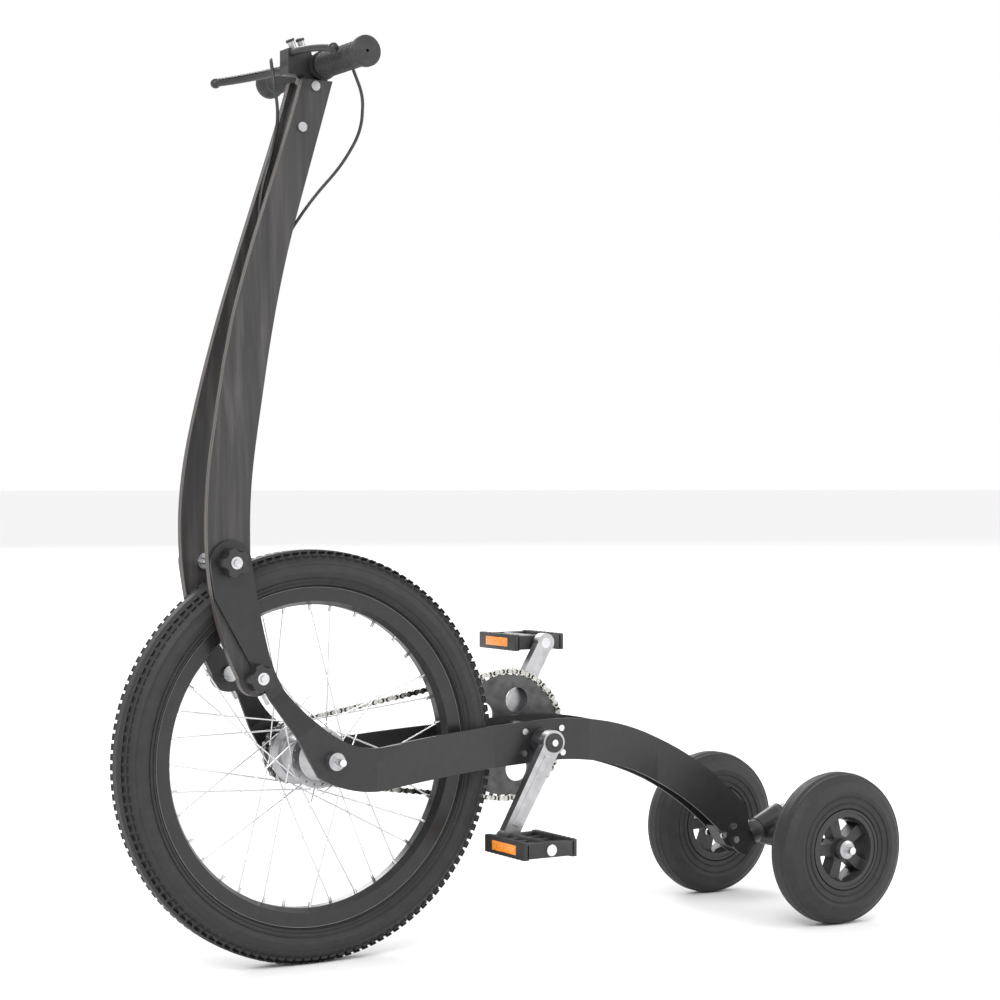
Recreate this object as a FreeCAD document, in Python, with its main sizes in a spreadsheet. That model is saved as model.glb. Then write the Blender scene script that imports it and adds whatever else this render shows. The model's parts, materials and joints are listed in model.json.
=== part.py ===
import FreeCAD, Part

import math
import os
import re

import Sketcher
from FreeCAD import Vector

# Stand-up tricycle.  Millimetres, +Z up, forward is -X, the rider's left is -Y.
# The origin lies on the ground under the middle of the whole machine.

SIZES = [
    # overall
    ("wheelbase", 726, "front axle to rear axle"),
    ("track", 288, "between the middles of the rear tyres"),
    # front wheel
    ("front_tyre_od", 514, "20 inch wheel with a 54 mm tyre"),
    ("front_tyre_width", 54, "section width"),
    ("front_bead_radius", 203, "tyre bead seat"),
    ("front_rim_edge", 211, "outer edge of the rim flange"),
    ("front_rim_inner", 188.5, "inner face of the rim"),
    ("front_rim_width", 34, "rim across its flanges"),
    ("spoke_count", 36, "spokes, half on each flange"),
    ("spoke_dia", 2, "spoke wire"),
    ("hub_flange_radius", 38, "hub flange edge"),
    ("hub_flange_spacing", 58, "between the flange middles"),
    ("hub_shell_radius", 30, "gear hub barrel"),
    ("hub_width", 130, "over the locknuts, between the side plates"),
    ("axle_dia", 10, "front axle"),
    ("axle_stub", 16, "bare axle outside each nut"),
    ("axle_stub_dia", 9, "bare axle outside each nut"),
    ("sprocket_pitch_radius", 36.6, "18 teeth"),
    # side plates
    ("plate_thickness", 4, "aluminium sheet"),
    ("plate_width", 54, "across the S-shaped band"),
    ("bracket_gap", 68, "between the plates at the bottom bracket"),
    ("tail_gap", 25, "between the plates at the tail"),
    # mast
    ("fold_gap", 18, "from the tyre crown out to the fold rod"),
    ("fold_angle", 62.5, "fold rod above the hub's level, seen from the hub"),
    ("clamp_drop", 140, "fold rod down to the clamp bolts"),
    ("clamp_setback", 35, "clamp bolts behind the fold rod"),
    ("plank_thickness", 10, "bent plywood"),
    ("fork_gap", 68, "between the planks beside the tyre"),
    ("neck_gap", 26, "between the planks at the head"),
    ("mast_height", 594, "fold rod up to the end of the planks"),
    ("bar_reach", 138, "handlebar behind the fold rod"),
    ("bar_rise", 613, "handlebar above the fold rod"),
    ("bar_dia", 22.2, "handlebar tube"),
    ("bar_wall", 2, "handlebar tube wall"),
    ("bar_width", 268, "handlebar tube length"),
    ("grip_length", 113, "each grip"),
    ("grip_dia", 31, "grip body"),
    ("grip_flange_dia", 38, "grip's outer flange"),
    ("cable_dia", 4, "brake and shift cable housing"),
    ("rod_dia", 8, "fold rod and clamp bolts"),
    ("knob_dia", 35, "star knob"),
    ("knob_height", 16, "star knob"),
    # drive
    ("crank_reach", 319, "bottom bracket behind the front axle"),
    ("crank_rise", 4, "bottom bracket above the front axle"),
    ("crank_length", 138, "bottom bracket to pedal axle"),
    ("crank_angle", 60, "crank line above the level, seen from the left"),
    ("arm_offset", 64, "middle of each crank arm from the centre plane"),
    ("arm_thickness", 12, "crank arm"),
    ("ring_pitch_radius", 85, "42 teeth"),
    ("spindle_dia", 17, "crank spindle"),
    ("pedal_axle_dia", 14, "pedal axle"),
    ("chain_line", 48, "chain from the centre plane"),
    ("chain_height", 8.5, "link plates"),
    ("chain_width", 7.5, "over the pins"),
    ("pedal_width", 95, "pedal along its axle"),
    ("pedal_length", 78, "pedal fore and aft"),
    ("pedal_height", 22, "pedal body"),
    # rear truck and wheels
    ("rear_tyre_od", 205, "200 by 50 pneumatic tyre"),
    ("rear_tyre_width", 50, "section width"),
    ("rear_rim_radius", 54, "rim edge"),
    ("rear_rim_width", 40, "rim across its edges"),
    ("rear_axle_dia", 10, "rear axle"),
    ("truck_angle", 25, "lean axis above the level, rising rearwards"),
    ("truck_lift", 19, "lean axis above the rear axle, above the beam"),
    ("truck_setback", 6, "middle of the truck sleeve ahead of the rear axle"),
    ("truck_pin_dia", 14, "lean pin"),
    ("beam_dia", 24, "truck beam at its ends"),
    # clearances
    ("running_gap", 0.05, "radial play of a shaft in its bore"),
    ("face_gap", 0.3, "between faces that slide past each other"),
]

doc = FreeCAD.newDocument("StandUpTricycle")
sheet = doc.addObject("Spreadsheet::Sheet", "Sizes")
for row, (alias, size, note) in enumerate(SIZES, start=1):
    sheet.set("A%d" % row, alias)
    sheet.set("B%d" % row, str(size))
    sheet.set("C%d" % row, note)
    sheet.setAlias("B%d" % row, alias)
doc.recompute()
ALIASES = {alias for alias, size, note in SIZES}

# Places worked out from the driving sizes, as formulas on the sheet.
HUB_X = "((front_tyre_od - rear_tyre_od) / 4 - wheelbase / 2)"
HUB_Z = "(front_tyre_od / 2)"
REAR_X = f"({HUB_X} + wheelbase)"
REAR_Z = "(rear_tyre_od / 2)"
CRANK_X = f"({HUB_X} + crank_reach)"
CRANK_Z = f"({HUB_Z} + crank_rise)"
FOLD_X = f"({HUB_X} - (front_tyre_od / 2 + fold_gap) * cos(fold_angle * 1 deg))"
FOLD_Z = f"({HUB_Z} + (front_tyre_od / 2 + fold_gap) * sin(fold_angle * 1 deg))"
CLAMP_X = f"({FOLD_X} + clamp_setback)"
CLAMP_Z = f"({FOLD_Z} - clamp_drop)"
BAR_X = f"({FOLD_X} + bar_reach)"
BAR_Z = f"({FOLD_Z} + bar_rise)"
PLATE_INNER = "(fork_gap / 2 + plank_thickness + face_gap)"
PLATE_OUTER = f"({PLATE_INNER} + plate_thickness)"
PEDAL_DX = "(crank_length * cos(crank_angle * 1 deg))"
PEDAL_DZ = "(crank_length * sin(crank_angle * 1 deg))"
LEAN_X = f"({REAR_X} - truck_setback)"
LEAN_Z = f"({REAR_Z} + truck_lift)"


def formula(text):
    """Point each alias in a formula at its cell."""
    return re.sub(r"[a-z_]+", lambda hit: "Sizes." + hit[0] if hit[0] in ALIASES else hit[0], text)


def value(text):
    """The number that a formula comes to now."""
    result = sheet.evalExpression(formula(str(text)))
    return float(getattr(result, "Value", result))


def place(item, x="0", y="0", z="0", turn=None):
    """Bind an object's position to formulas; turn is (axis, degrees formula)."""
    if turn is not None:
        axis, angle = turn
        item.Placement = FreeCAD.Placement(Vector(), FreeCAD.Rotation(axis, value(angle)))
        item.setExpression("Placement.Rotation.Angle", formula(angle))
    for name, text in (("x", x), ("y", y), ("z", z)):
        item.setExpression("Placement.Base." + name, formula(text))
    return item


# ---------------------------------------------------------------- sketches

def origin_part(body, role):
    return [item for item in body.Origin.OriginFeatures if item.Role == role][0]


def new_body(label):
    body = doc.addObject("PartDesign::Body", label)
    body.Label = label
    return body


def new_sketch(body, plane, name):
    sketch = body.newObject("Sketcher::SketchObject", name)
    sketch.AttachmentSupport = (origin_part(body, plane), [""])
    sketch.MapMode = "FlatFace"
    return sketch


def bind(sketch, kind, edge, point, text):
    """Hold one coordinate of a sketch point at a formula."""
    index = sketch.addConstraint(Sketcher.Constraint(kind, -1, 1, edge, point, value(text)))
    sketch.setExpression("Constraints[%d]" % index, formula(str(text)))


def polygon(sketch, corners):
    """Closed outline of straight edges; every corner is a pair of formulas."""
    points = [Vector(value(a), value(b), 0) for a, b in corners]
    first = sketch.GeometryCount
    count = len(points)
    for i in range(count):
        sketch.addGeometry(Part.LineSegment(points[i], points[(i + 1) % count]))
    for i in range(count):
        following = first + (i + 1) % count
        sketch.addConstraint(Sketcher.Constraint("Coincident", first + i, 2, following, 1))
    for i, (a, b) in enumerate(corners):
        bind(sketch, "DistanceX", first + i, 1, a)
        bind(sketch, "DistanceY", first + i, 1, b)


def circle(sketch, a, b, radius):
    centre = Vector(value(a), value(b), 0)
    index = sketch.addGeometry(Part.Circle(centre, Vector(0, 0, 1), value(radius)))
    bind(sketch, "DistanceX", index, 3, a)
    bind(sketch, "DistanceY", index, 3, b)
    size = sketch.addConstraint(Sketcher.Constraint("Radius", index, value(radius)))
    sketch.setExpression("Constraints[%d]" % size, formula(radius))


def pad(body, sketch, length, name, symmetric=True, reverse=False):
    feature = body.newObject("PartDesign::Pad", name)
    feature.Profile = sketch
    feature.SideType = "Symmetric" if symmetric else "One side"
    feature.Reversed = reverse
    feature.setExpression("Length", formula(length))
    return feature


def pocket(body, sketch, name):
    """Cut right through, both ways from the sketch."""
    feature = body.newObject("PartDesign::Pocket", name)
    feature.Profile = sketch
    feature.Type = "ThroughAll"
    feature.SideType = "Symmetric"
    return feature


# ---------------------------------------------------------------- common shapes

def turned(label, corners, axis="Y_Axis"):
    """A turned piece about its own axis.  Corners are (radius, place along the axis)."""
    body = new_body(label)
    sketch = new_sketch(body, "XY_Plane", label + "_section")
    if axis == "Y_Axis":
        polygon(sketch, corners)
    else:
        polygon(sketch, [(along, radius) for radius, along in corners])
    feature = body.newObject("PartDesign::Revolution", label + "_turn")
    feature.Profile = sketch
    feature.ReferenceAxis = (origin_part(body, axis), [""])
    feature.Angle = 360
    return body


def tube_corners(outer, inner, start, end):
    return [(inner, start), (outer, start), (outer, end), (inner, end)]


def rod(label, radius, start, end, axis="Y_Axis"):
    return turned(label, tube_corners(radius, "0", start, end), axis)


def group(label, members):
    """Several solids of one kind on one body, kept apart, in one node."""
    compound = doc.addObject("Part::Compound", label)
    compound.Label = label
    compound.Links = members
    return compound


def cut(label, base, tools):
    """Take every tool away from the base."""
    if len(tools) > 1:
        tool = doc.addObject("Part::Compound", label + "_tools")
        tool.Links = tools
    else:
        tool = tools[0]
    result = doc.addObject("Part::Cut", label)
    result.Label = label
    result.Base = base
    result.Tool = tool
    return result


def mirrored(label, source):
    """The same piece on the other side of the centre plane."""
    result = doc.addObject("Part::Mirroring", label)
    result.Label = label
    result.Source = source
    result.Normal = Vector(0, 1, 0)
    return result


def cross_bore(name, x, z, radius):
    """A long cylinder across the machine, to bore both sides with."""
    bore = doc.addObject("Part::Cylinder", name)
    bore.setExpression("Radius", formula(radius))
    bore.Height = 600
    bore.Placement = FreeCAD.Placement(Vector(0, 300, 0), FreeCAD.Rotation(Vector(1, 0, 0), 90))
    bore.setExpression("Placement.Base.x", formula(x))
    bore.setExpression("Placement.Base.z", formula(z))
    return bore


def shape_node(label, shape):
    feature = doc.addObject("Part::Feature", label)
    feature.Label = label
    feature.Shape = shape
    return feature


# ---------------------------------------------------------------- side plates

def arc_chain(points, heading):
    """Arcs through the points, each tangent to the one before; heading in degrees."""
    edges = []
    direction = Vector(math.cos(math.radians(heading)), 0, math.sin(math.radians(heading)))
    for start, end in zip(points, points[1:]):
        edges.append(Part.Arc(start, arc_middle(start, end, direction), end).toShape())
        chord = (end - start).normalize()
        direction = chord * (2 * direction.dot(chord)) - direction
    return edges


def arc_middle(start, end, direction):
    """Middle of the arc that leaves start along direction and comes to end."""
    chord = end - start
    half = chord.Length / 2
    along = Vector(chord).normalize()
    side = Vector(-along.z, 0, along.x)
    bend = math.atan2(direction.dot(side), direction.dot(along))
    return start + chord * 0.5 + side * (half * math.tan(bend / 2))


def plate_centreline():
    """The S-curve through the fold rod, front hub and bottom bracket to the tail."""
    hub_x, hub_z = value(HUB_X), value(HUB_Z)
    tail_x, tail_z = value(REAR_X), value(REAR_Z)
    shoulder = Vector(value(CLAMP_X) - 12, 0, value(CLAMP_Z) + 26)
    points = [
        Vector(value(FOLD_X), 0, value(FOLD_Z)),
        shoulder,
        Vector(hub_x, 0, hub_z),
        Vector(hub_x + 75, 0, hub_z - 14),
        Vector(value(CRANK_X) - 104, 0, value(CRANK_Z) - 6),
        Vector(value(CRANK_X), 0, value(CRANK_Z)),
        Vector(tail_x - 221, 0, tail_z + 126),
        Vector(tail_x - 54, 0, tail_z + 5),
    ]
    return Part.Wire(arc_chain(points, -82))


def band_sheet(corners, length, name):
    """A prism whose section (formulas) is the plate seen edge-on."""
    points = [Vector(value(a), value(b), 0) for a, b in corners]
    face = Part.Face(Part.makePolygon(points + points[:1]))
    block = face.extrude(Vector(0, 0, length))
    block.translate(Vector(0, 0, -length / 2))
    return shape_node(name, block)


def side_plates():
    line = shape_node("plate_centreline", plate_centreline())
    outline = doc.addObject("Part::Offset2D", "plate_outline")
    outline.Source = line
    outline.setExpression("Value", formula("plate_width / 2"))
    outline.Fill = True
    blank = doc.addObject("Part::Extrusion", "plate_blank")
    blank.Base = outline
    blank.DirMode = "Custom"
    blank.Dir = Vector(0, 1, 0)
    blank.LengthFwd = 400
    blank.Symmetric = True
    blank.Solid = True

    # Rear half, seen from above: flat at the hub, in to the bottom bracket, in to the tail.
    hub_half = "(hub_width / 2)"
    stations = [
        (f"({HUB_X} - 20)", hub_half),
        (f"({HUB_X} + 60)", hub_half),
        (f"({CRANK_X} - 70)", "(bracket_gap / 2)"),
        (f"({CRANK_X} + 75)", "(bracket_gap / 2)"),
        (f"({REAR_X} - 206)", "(tail_gap / 2)"),
        (f"({REAR_X} - 52)", "(tail_gap / 2)"),
    ]
    rear_corners = [(x, f"-({y})") for x, y in stations]
    rear_corners += [(x, f"-({y} + plate_thickness)") for x, y in reversed(stations)]
    rear = band_sheet(rear_corners, 1400, "plate_rear_fold")

    # Front half, along the slope from the fold rod down to the hub.
    slope = math.radians(60)
    along = Vector(math.cos(slope), 0, -math.sin(slope))
    clamp = Vector(value(CLAMP_X), 0, value(CLAMP_Z))
    hub = Vector(value(HUB_X), 0, value(HUB_Z))
    hub_along = (hub - clamp).dot(along)
    flat_start = hub_along - 51
    fold_start = min(32, flat_start - 20)
    front = [(-220, PLATE_INNER), (fold_start, PLATE_INNER), (flat_start, hub_half), (hub_along + 34, hub_half)]
    front_corners = [(str(u), f"-({y})") for u, y in front]
    front_corners += [(str(u), f"-({y} + plate_thickness)") for u, y in reversed(front)]
    front_sheet = band_sheet(front_corners, 500, "plate_front_fold")
    front_sheet.Placement = FreeCAD.Placement(clamp, FreeCAD.Rotation(Vector(0, 1, 0), 60))

    folds = doc.addObject("Part::Fuse", "plate_folds")
    folds.Base = rear
    folds.Tool = front_sheet
    bent = doc.addObject("Part::Common", "plate_bent")
    bent.Base = blank
    bent.Tool = folds

    slot = doc.addObject("Part::Box", "plate_slot")
    slot.Length = 7
    slot.Width = 600
    slot.Height = 19
    slot.Placement = FreeCAD.Placement(
        Vector(value(CLAMP_X) + 4, -300, value(CLAMP_Z) - 34), FreeCAD.Rotation(Vector(0, 1, 0), -28))
    bores = [
        cross_bore("fold_bore", FOLD_X, FOLD_Z, "rod_dia / 2 + running_gap"),
        cross_bore("clamp_bore", CLAMP_X, CLAMP_Z, "rod_dia / 2 + running_gap"),
        cross_bore("axle_bore", HUB_X, HUB_Z, "axle_dia / 2 + running_gap"),
        cross_bore("bracket_bore", CRANK_X, CRANK_Z, "17 + running_gap"),
    ]
    for number, (dx, dz) in enumerate(TAIL_BOLTS):
        bores.append(cross_bore(f"tail_bore_{number}", f"{REAR_X} + {dx}", f"{REAR_Z} + {dz}", "3 + running_gap"))
    left = cut("side_plate_left", bent, bores + [slot])
    return [left, mirrored("side_plate_right", left)]


TAIL_BOLTS = [(-78, 19), (-73, 0), (-95, 8)]


# ---------------------------------------------------------------- bottom bracket, tail block

def bracket_shell():
    end = "(bracket_gap / 2 + plate_thickness + 3)"
    bore = "spindle_dia / 2 + running_gap"
    shell = turned("bottom_bracket_cup", tube_corners("17", bore, f"-{end}", end))
    collar = turned("bottom_bracket_collar", tube_corners("21", "16", "-bracket_gap / 2", "bracket_gap / 2"))
    fused = doc.addObject("Part::Fuse", "bottom_bracket")
    fused.Label = "bottom_bracket"
    fused.Base = shell
    fused.Tool = collar
    return place(fused, CRANK_X, "0", CRANK_Z)


def tail_block():
    """Solid block clamped between the plate tails, with the boss that carries the lean pin."""
    body = new_body("tail_block")
    sketch = new_sketch(body, "XZ_Plane", "tail_block_side")
    polygon(sketch, [
        ("-104", "20"), ("-84", "36"), ("-50", "22"), ("-33", "-8"), ("-50", "-16"), ("-70", "-14"), ("-88", "-6"),
    ])
    pad(body, sketch, "tail_gap", "tail_block_pad")
    place(body, REAR_X, "0", REAR_Z)
    boss = rod("tail_boss", "17", "-40", "-28", axis="X_Axis")
    place(boss, LEAN_X, "0", LEAN_Z, turn=(Vector(0, 1, 0), "-truck_angle"))
    pin = rod("tail_pin", "truck_pin_dia / 2", "-40", "34", axis="X_Axis")
    place(pin, LEAN_X, "0", LEAN_Z, turn=(Vector(0, 1, 0), "-truck_angle"))
    base = doc.addObject("Part::MultiFuse", "truck_base")
    base.Label = "truck_base"
    base.Shapes = [body, boss, pin]
    return base


# ---------------------------------------------------------------- front wheel

def front_wheel():
    half = "(front_tyre_width / 2)"
    crown = "(front_tyre_od / 2)"
    middle = "((front_tyre_od / 2 + front_bead_radius) / 2)"
    tyre = turned("front_tyre", [
        ("front_bead_radius + 1", "-front_rim_width / 2 + 4"),
        ("front_rim_edge + 0.3", "-front_rim_width / 2 + 2"),
        ("front_rim_edge + 3", f"-{half} + 5"),
        (middle, f"-{half}"),
        (f"{middle} + 12", f"-{half} + 2"),
        (f"{crown} - 9", f"-{half} + 8"),
        (f"{crown} - 3", f"-{half} + 16"),
        (crown, "-6"),
        (crown, "6"),
        (f"{crown} - 3", f"{half} - 16"),
        (f"{crown} - 9", f"{half} - 8"),
        (f"{middle} + 12", f"{half} - 2"),
        (middle, half),
        ("front_rim_edge + 3", f"{half} - 5"),
        ("front_rim_edge + 0.3", "front_rim_width / 2 - 2"),
        ("front_bead_radius + 1", "front_rim_width / 2 - 4"),
    ])
    rim = turned("front_rim", [
        ("front_rim_inner", "-6"),
        ("front_rim_inner + 5", "-front_rim_width / 2 + 1"),
        ("front_rim_edge", "-front_rim_width / 2"),
        ("front_rim_edge", "-front_rim_width / 2 + 2"),
        ("front_bead_radius + 0.7", "-front_rim_width / 2 + 3"),
        ("front_bead_radius - 4", "-6"),
        ("front_bead_radius - 4", "6"),
        ("front_bead_radius + 0.7", "front_rim_width / 2 - 3"),
        ("front_rim_edge", "front_rim_width / 2 - 2"),
        ("front_rim_edge", "front_rim_width / 2"),
        ("front_rim_inner + 5", "front_rim_width / 2 - 1"),
        ("front_rim_inner", "6"),
    ])
    flange_in = "(hub_flange_spacing / 2 - 1.5)"
    flange_out = "(hub_flange_spacing / 2 + 1.5)"
    bore = "axle_dia / 2 + running_gap"
    hub = turned("front_hub", [
        (bore, "-hub_width / 2 + 6"),
        ("12", "-hub_width / 2 + 6"),
        ("16", f"-{flange_out} - 8"),
        ("hub_shell_radius - 2", f"-{flange_out}"),
        ("hub_flange_radius", f"-{flange_out}"),
        ("hub_flange_radius", f"-{flange_in}"),
        ("hub_shell_radius", f"-{flange_in} + 3"),
        ("hub_shell_radius", f"{flange_in} - 3"),
        ("hub_flange_radius", flange_in),
        ("hub_flange_radius", flange_out),
        ("hub_shell_radius - 2", flange_out),
        ("18", "chain_line - 4"),
        ("18", "chain_line + 4"),
        ("12", "hub_width / 2 - 6"),
        (bore, "hub_width / 2 - 6"),
    ])
    sprocket = turned("front_sprocket", tube_corners(
        "sprocket_pitch_radius - chain_height / 2 - 0.5", "18", "chain_line - 1.5", "chain_line + 1.5"))
    for piece in (tyre, rim, hub, sprocket):
        place(piece, HUB_X, "0", HUB_Z)
    return [tyre, rim, hub, sprocket, spokes()]


def spokes():
    """Three-cross spokes: on each flange half lead, half trail, with their heads on opposite faces."""
    count = int(value("spoke_count"))
    radius = value("spoke_dia / 2")
    flange = value("hub_flange_radius") + 1.5
    nipple = value("front_rim_inner") - 0.3
    wires = []
    for number in range(count):
        side = -1 if number % 2 else 1
        sweep = 1 if (number // 2) % 2 else -1
        rim_turn = 2 * math.pi * number / count
        hub_turn = rim_turn + sweep * math.radians(62)
        face = value("hub_flange_spacing / 2") + sweep * 2.6
        start = Vector(flange * math.cos(hub_turn), side * face, flange * math.sin(hub_turn))
        end = Vector(nipple * math.cos(rim_turn), side * 4, nipple * math.sin(rim_turn))
        wires.append(Part.makeCylinder(radius, (end - start).Length, start, end - start))
    return place(shape_node("front_spokes", Part.makeCompound(wires)), HUB_X, "0", HUB_Z)


def front_axle():
    """Axle with its locknuts inside the plates and its wheel nuts outside them."""
    plate_face = "(hub_width / 2 + plate_thickness)"
    tip = f"({plate_face} + 10 + axle_stub)"
    shoulder = f"({plate_face} + 10)"
    axle = turned("front_axle", [
        ("0", f"-{tip}"), ("axle_stub_dia / 2", f"-{tip}"), ("axle_stub_dia / 2", f"-{shoulder}"),
        ("axle_dia / 2", f"-{shoulder}"), ("axle_dia / 2", shoulder), ("axle_stub_dia / 2", shoulder),
        ("axle_stub_dia / 2", tip), ("0", tip),
    ])
    place(axle, HUB_X, "0", HUB_Z)
    nuts = []
    for side, word in (("-", "left"), ("", "right")):
        inner = turned(f"axle_spacer_{word}", tube_corners(
            "11", bore_of("axle_dia"), f"{side}(hub_width / 2 - 5.7)", f"{side}(hub_width / 2)"))
        outer = turned(f"axle_nut_{word}_body", tube_corners(
            "11", bore_of("axle_dia"), f"{side}({plate_face})", f"{side}({plate_face} + 10)"))
        nuts += [place(inner, HUB_X, "0", HUB_Z), place(outer, HUB_X, "0", HUB_Z)]
    return [axle, group("axle_nuts", nuts)]


def bore_of(alias):
    return f"{alias} / 2 + running_gap"


# ---------------------------------------------------------------- chain and cranks

def chain():
    """The chain's closed loop: round the chainring, over both runs, round the hub sprocket."""
    big_x, small_x = value(CRANK_X), value(HUB_X)
    big_z, small_z = value(CRANK_Z), value(HUB_Z)
    reach = math.hypot(big_x - small_x, big_z - small_z)
    rise = math.atan2(big_z - small_z, big_x - small_x)

    def loop(offset):
        big = value("ring_pitch_radius") + offset
        small = value("sprocket_pitch_radius") + offset
        lean = math.asin((big - small) / reach)
        top = rise + math.pi / 2 + lean
        low = rise - math.pi / 2 - lean
        big_centre = Vector(big_x, 0, big_z)
        small_centre = Vector(small_x, 0, small_z)

        def at(centre, radius, angle):
            return centre + Vector(radius * math.cos(angle), 0, radius * math.sin(angle))

        return Part.Wire([
            Part.Arc(at(big_centre, big, low), at(big_centre, big, rise), at(big_centre, big, top)).toShape(),
            Part.makeLine(at(big_centre, big, top), at(small_centre, small, top)),
            Part.Arc(at(small_centre, small, top), at(small_centre, small, rise + math.pi),
                     at(small_centre, small, low)).toShape(),
            Part.makeLine(at(small_centre, small, low), at(big_centre, big, low)),
        ])

    half = value("chain_height / 2")
    width = value("chain_width")
    outer = Part.Face(loop(half)).extrude(Vector(0, width, 0))
    inner = Part.Face(loop(-half)).extrude(Vector(0, width, 0))
    band = outer.cut(inner)
    band.translate(Vector(0, value("chain_line - chain_width / 2"), 0))
    return shape_node("chain", band)


def crank_parts():
    ring_edge = "(ring_pitch_radius - chain_height / 2 - 0.5)"
    body = new_body("chainring")
    sketch = new_sketch(body, "XZ_Plane", "chainring_face")
    circle(sketch, "0", "0", ring_edge)
    circle(sketch, "0", "0", bore_of("spindle_dia"))
    pad(body, sketch, "3", "chainring_pad")
    windows = new_sketch(body, "XZ_Plane", "chainring_window")
    circle(windows, "48", "0", "17")
    opening = pocket(body, windows, "chainring_opening")
    around = body.newObject("PartDesign::PolarPattern", "chainring_windows")
    around.Originals = [opening]
    around.Axis = (origin_part(body, "Y_Axis"), [""])
    around.Angle = 360
    around.Occurrences = 5
    body.Tip = around
    place(body, CRANK_X, "chain_line", CRANK_Z)

    reach = "(arm_offset + arm_thickness / 2)"
    spindle = rod("crank_spindle", "spindle_dia / 2", f"-{reach} + 2", f"{reach} - 2")
    place(spindle, CRANK_X, "0", CRANK_Z)
    arms = []
    axles = []
    for word, side, sign in (("left", "-", "-"), ("right", "", "")):
        arm = new_body(f"crank_arm_{word}_blank")
        outline = new_sketch(arm, "XZ_Plane", f"crank_arm_{word}_outline")
        polygon(outline, [("-7", "-13"), ("crank_length + 4", "-11"), ("crank_length + 4", "11"), ("-7", "13")])
        pad(arm, outline, "arm_thickness", f"crank_arm_{word}_bar")
        ends = new_sketch(arm, "XZ_Plane", f"crank_arm_{word}_ends")
        circle(ends, "0", "0", "16")
        pad(arm, ends, "arm_thickness", f"crank_arm_{word}_boss")
        foot = new_sketch(arm, "XZ_Plane", f"crank_arm_{word}_foot")
        circle(foot, "crank_length", "0", "13")
        pad(arm, foot, "arm_thickness", f"crank_arm_{word}_eye")
        holes = new_sketch(arm, "XZ_Plane", f"crank_arm_{word}_holes")
        circle(holes, "0", "0", bore_of("spindle_dia"))
        circle(holes, "crank_length", "0", bore_of("pedal_axle_dia"))
        pocket(arm, holes, f"crank_arm_{word}_bores")
        turn = "180 - crank_angle" if sign == "-" else "-crank_angle"
        arm.Label = f"crank_arm_{word}"
        place(arm, CRANK_X, f"{side}arm_offset", CRANK_Z, turn=(Vector(0, 1, 0), turn))
        arms.append(arm)
        inner = f"{side}(arm_offset - arm_thickness / 2)"
        outer = f"{side}(arm_offset + arm_thickness / 2 + 8 + pedal_width)"
        axle = rod(f"pedal_axle_{word}", "pedal_axle_dia / 2", inner, outer)
        place(axle, f"{CRANK_X} {'-' if sign == '-' else '+'} {PEDAL_DX}", "0",
              f"{CRANK_Z} {'-' if sign == '-' else '+'} {PEDAL_DZ}")
        axles.append(axle)
    return [body, spindle] + arms + axles


def pedals():
    parts = []
    for word, side, sign in (("left", "-", "-"), ("right", "", "+")):
        body = new_body(f"pedal_{word}")
        sketch = new_sketch(body, "XZ_Plane", f"pedal_{word}_side")
        tip = "(pedal_length / 2)"
        half = "(pedal_height / 2)"
        polygon(sketch, [
            (f"-{tip} + 6", f"-{half}"), (f"{tip} - 6", f"-{half}"), (tip, f"-{half} + 6"), (tip, f"{half} - 6"),
            (f"{tip} - 6", half), (f"-{tip} + 6", half), (f"-{tip}", f"{half} - 6"), (f"-{tip}", f"-{half} + 6"),
        ])
        circle(sketch, "0", "0", bore_of("pedal_axle_dia"))
        pad(body, sketch, "pedal_width", f"pedal_{word}_cage")
        middle = f"{side}(arm_offset + arm_thickness / 2 + 5 + pedal_width / 2)"
        place(body, f"{CRANK_X} {sign} {PEDAL_DX}", middle, f"{CRANK_Z} {sign} {PEDAL_DZ}")
        parts.append(body)
    return parts


# ---------------------------------------------------------------- mast

# Height above the fold rod, middle of the plank behind the rod's line, width across the plank.
PLANK_STATIONS = [
    (-60, 7, 50),
    (0, 0, 55),
    (90, 1, 56),
    (190, 17, 56),
    (290, 39, 54),
    (390, 66, 48),
    (490, 97, 43),
]
PLANK_END_RADIUS = 23
PLANK_HEAD_WIDTH = 41


def plank_outline():
    drop, setback = value("clamp_drop"), value("clamp_setback")
    top, top_x = value("mast_height"), value("bar_reach") - 9
    stretch = top / 596
    rows = [(-drop, setback, 2 * PLANK_END_RADIUS)]
    rows += [(z * stretch if z > 0 else z, x, w) for z, x, w in PLANK_STATIONS]
    rows += [(top, top_x, PLANK_HEAD_WIDTH)]
    base = Vector(value(FOLD_X), 0, value(FOLD_Z))
    front = [base + Vector(x - w / 2, 0, z) for z, x, w in rows]
    rear = [base + Vector(x + w / 2, 0, z) for z, x, w in rows]
    front_edge = Part.BSplineCurve()
    front_edge.interpolate(front)
    rear_edge = Part.BSplineCurve()
    rear_edge.interpolate(rear)
    lowest = base + Vector(setback, 0, -drop - PLANK_END_RADIUS)
    return Part.Wire([
        front_edge.toShape(),
        Part.makeLine(front[-1], rear[-1]),
        rear_edge.toShape(),
        Part.Arc(rear[0], lowest, front[0]).toShape(),
    ])


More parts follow.
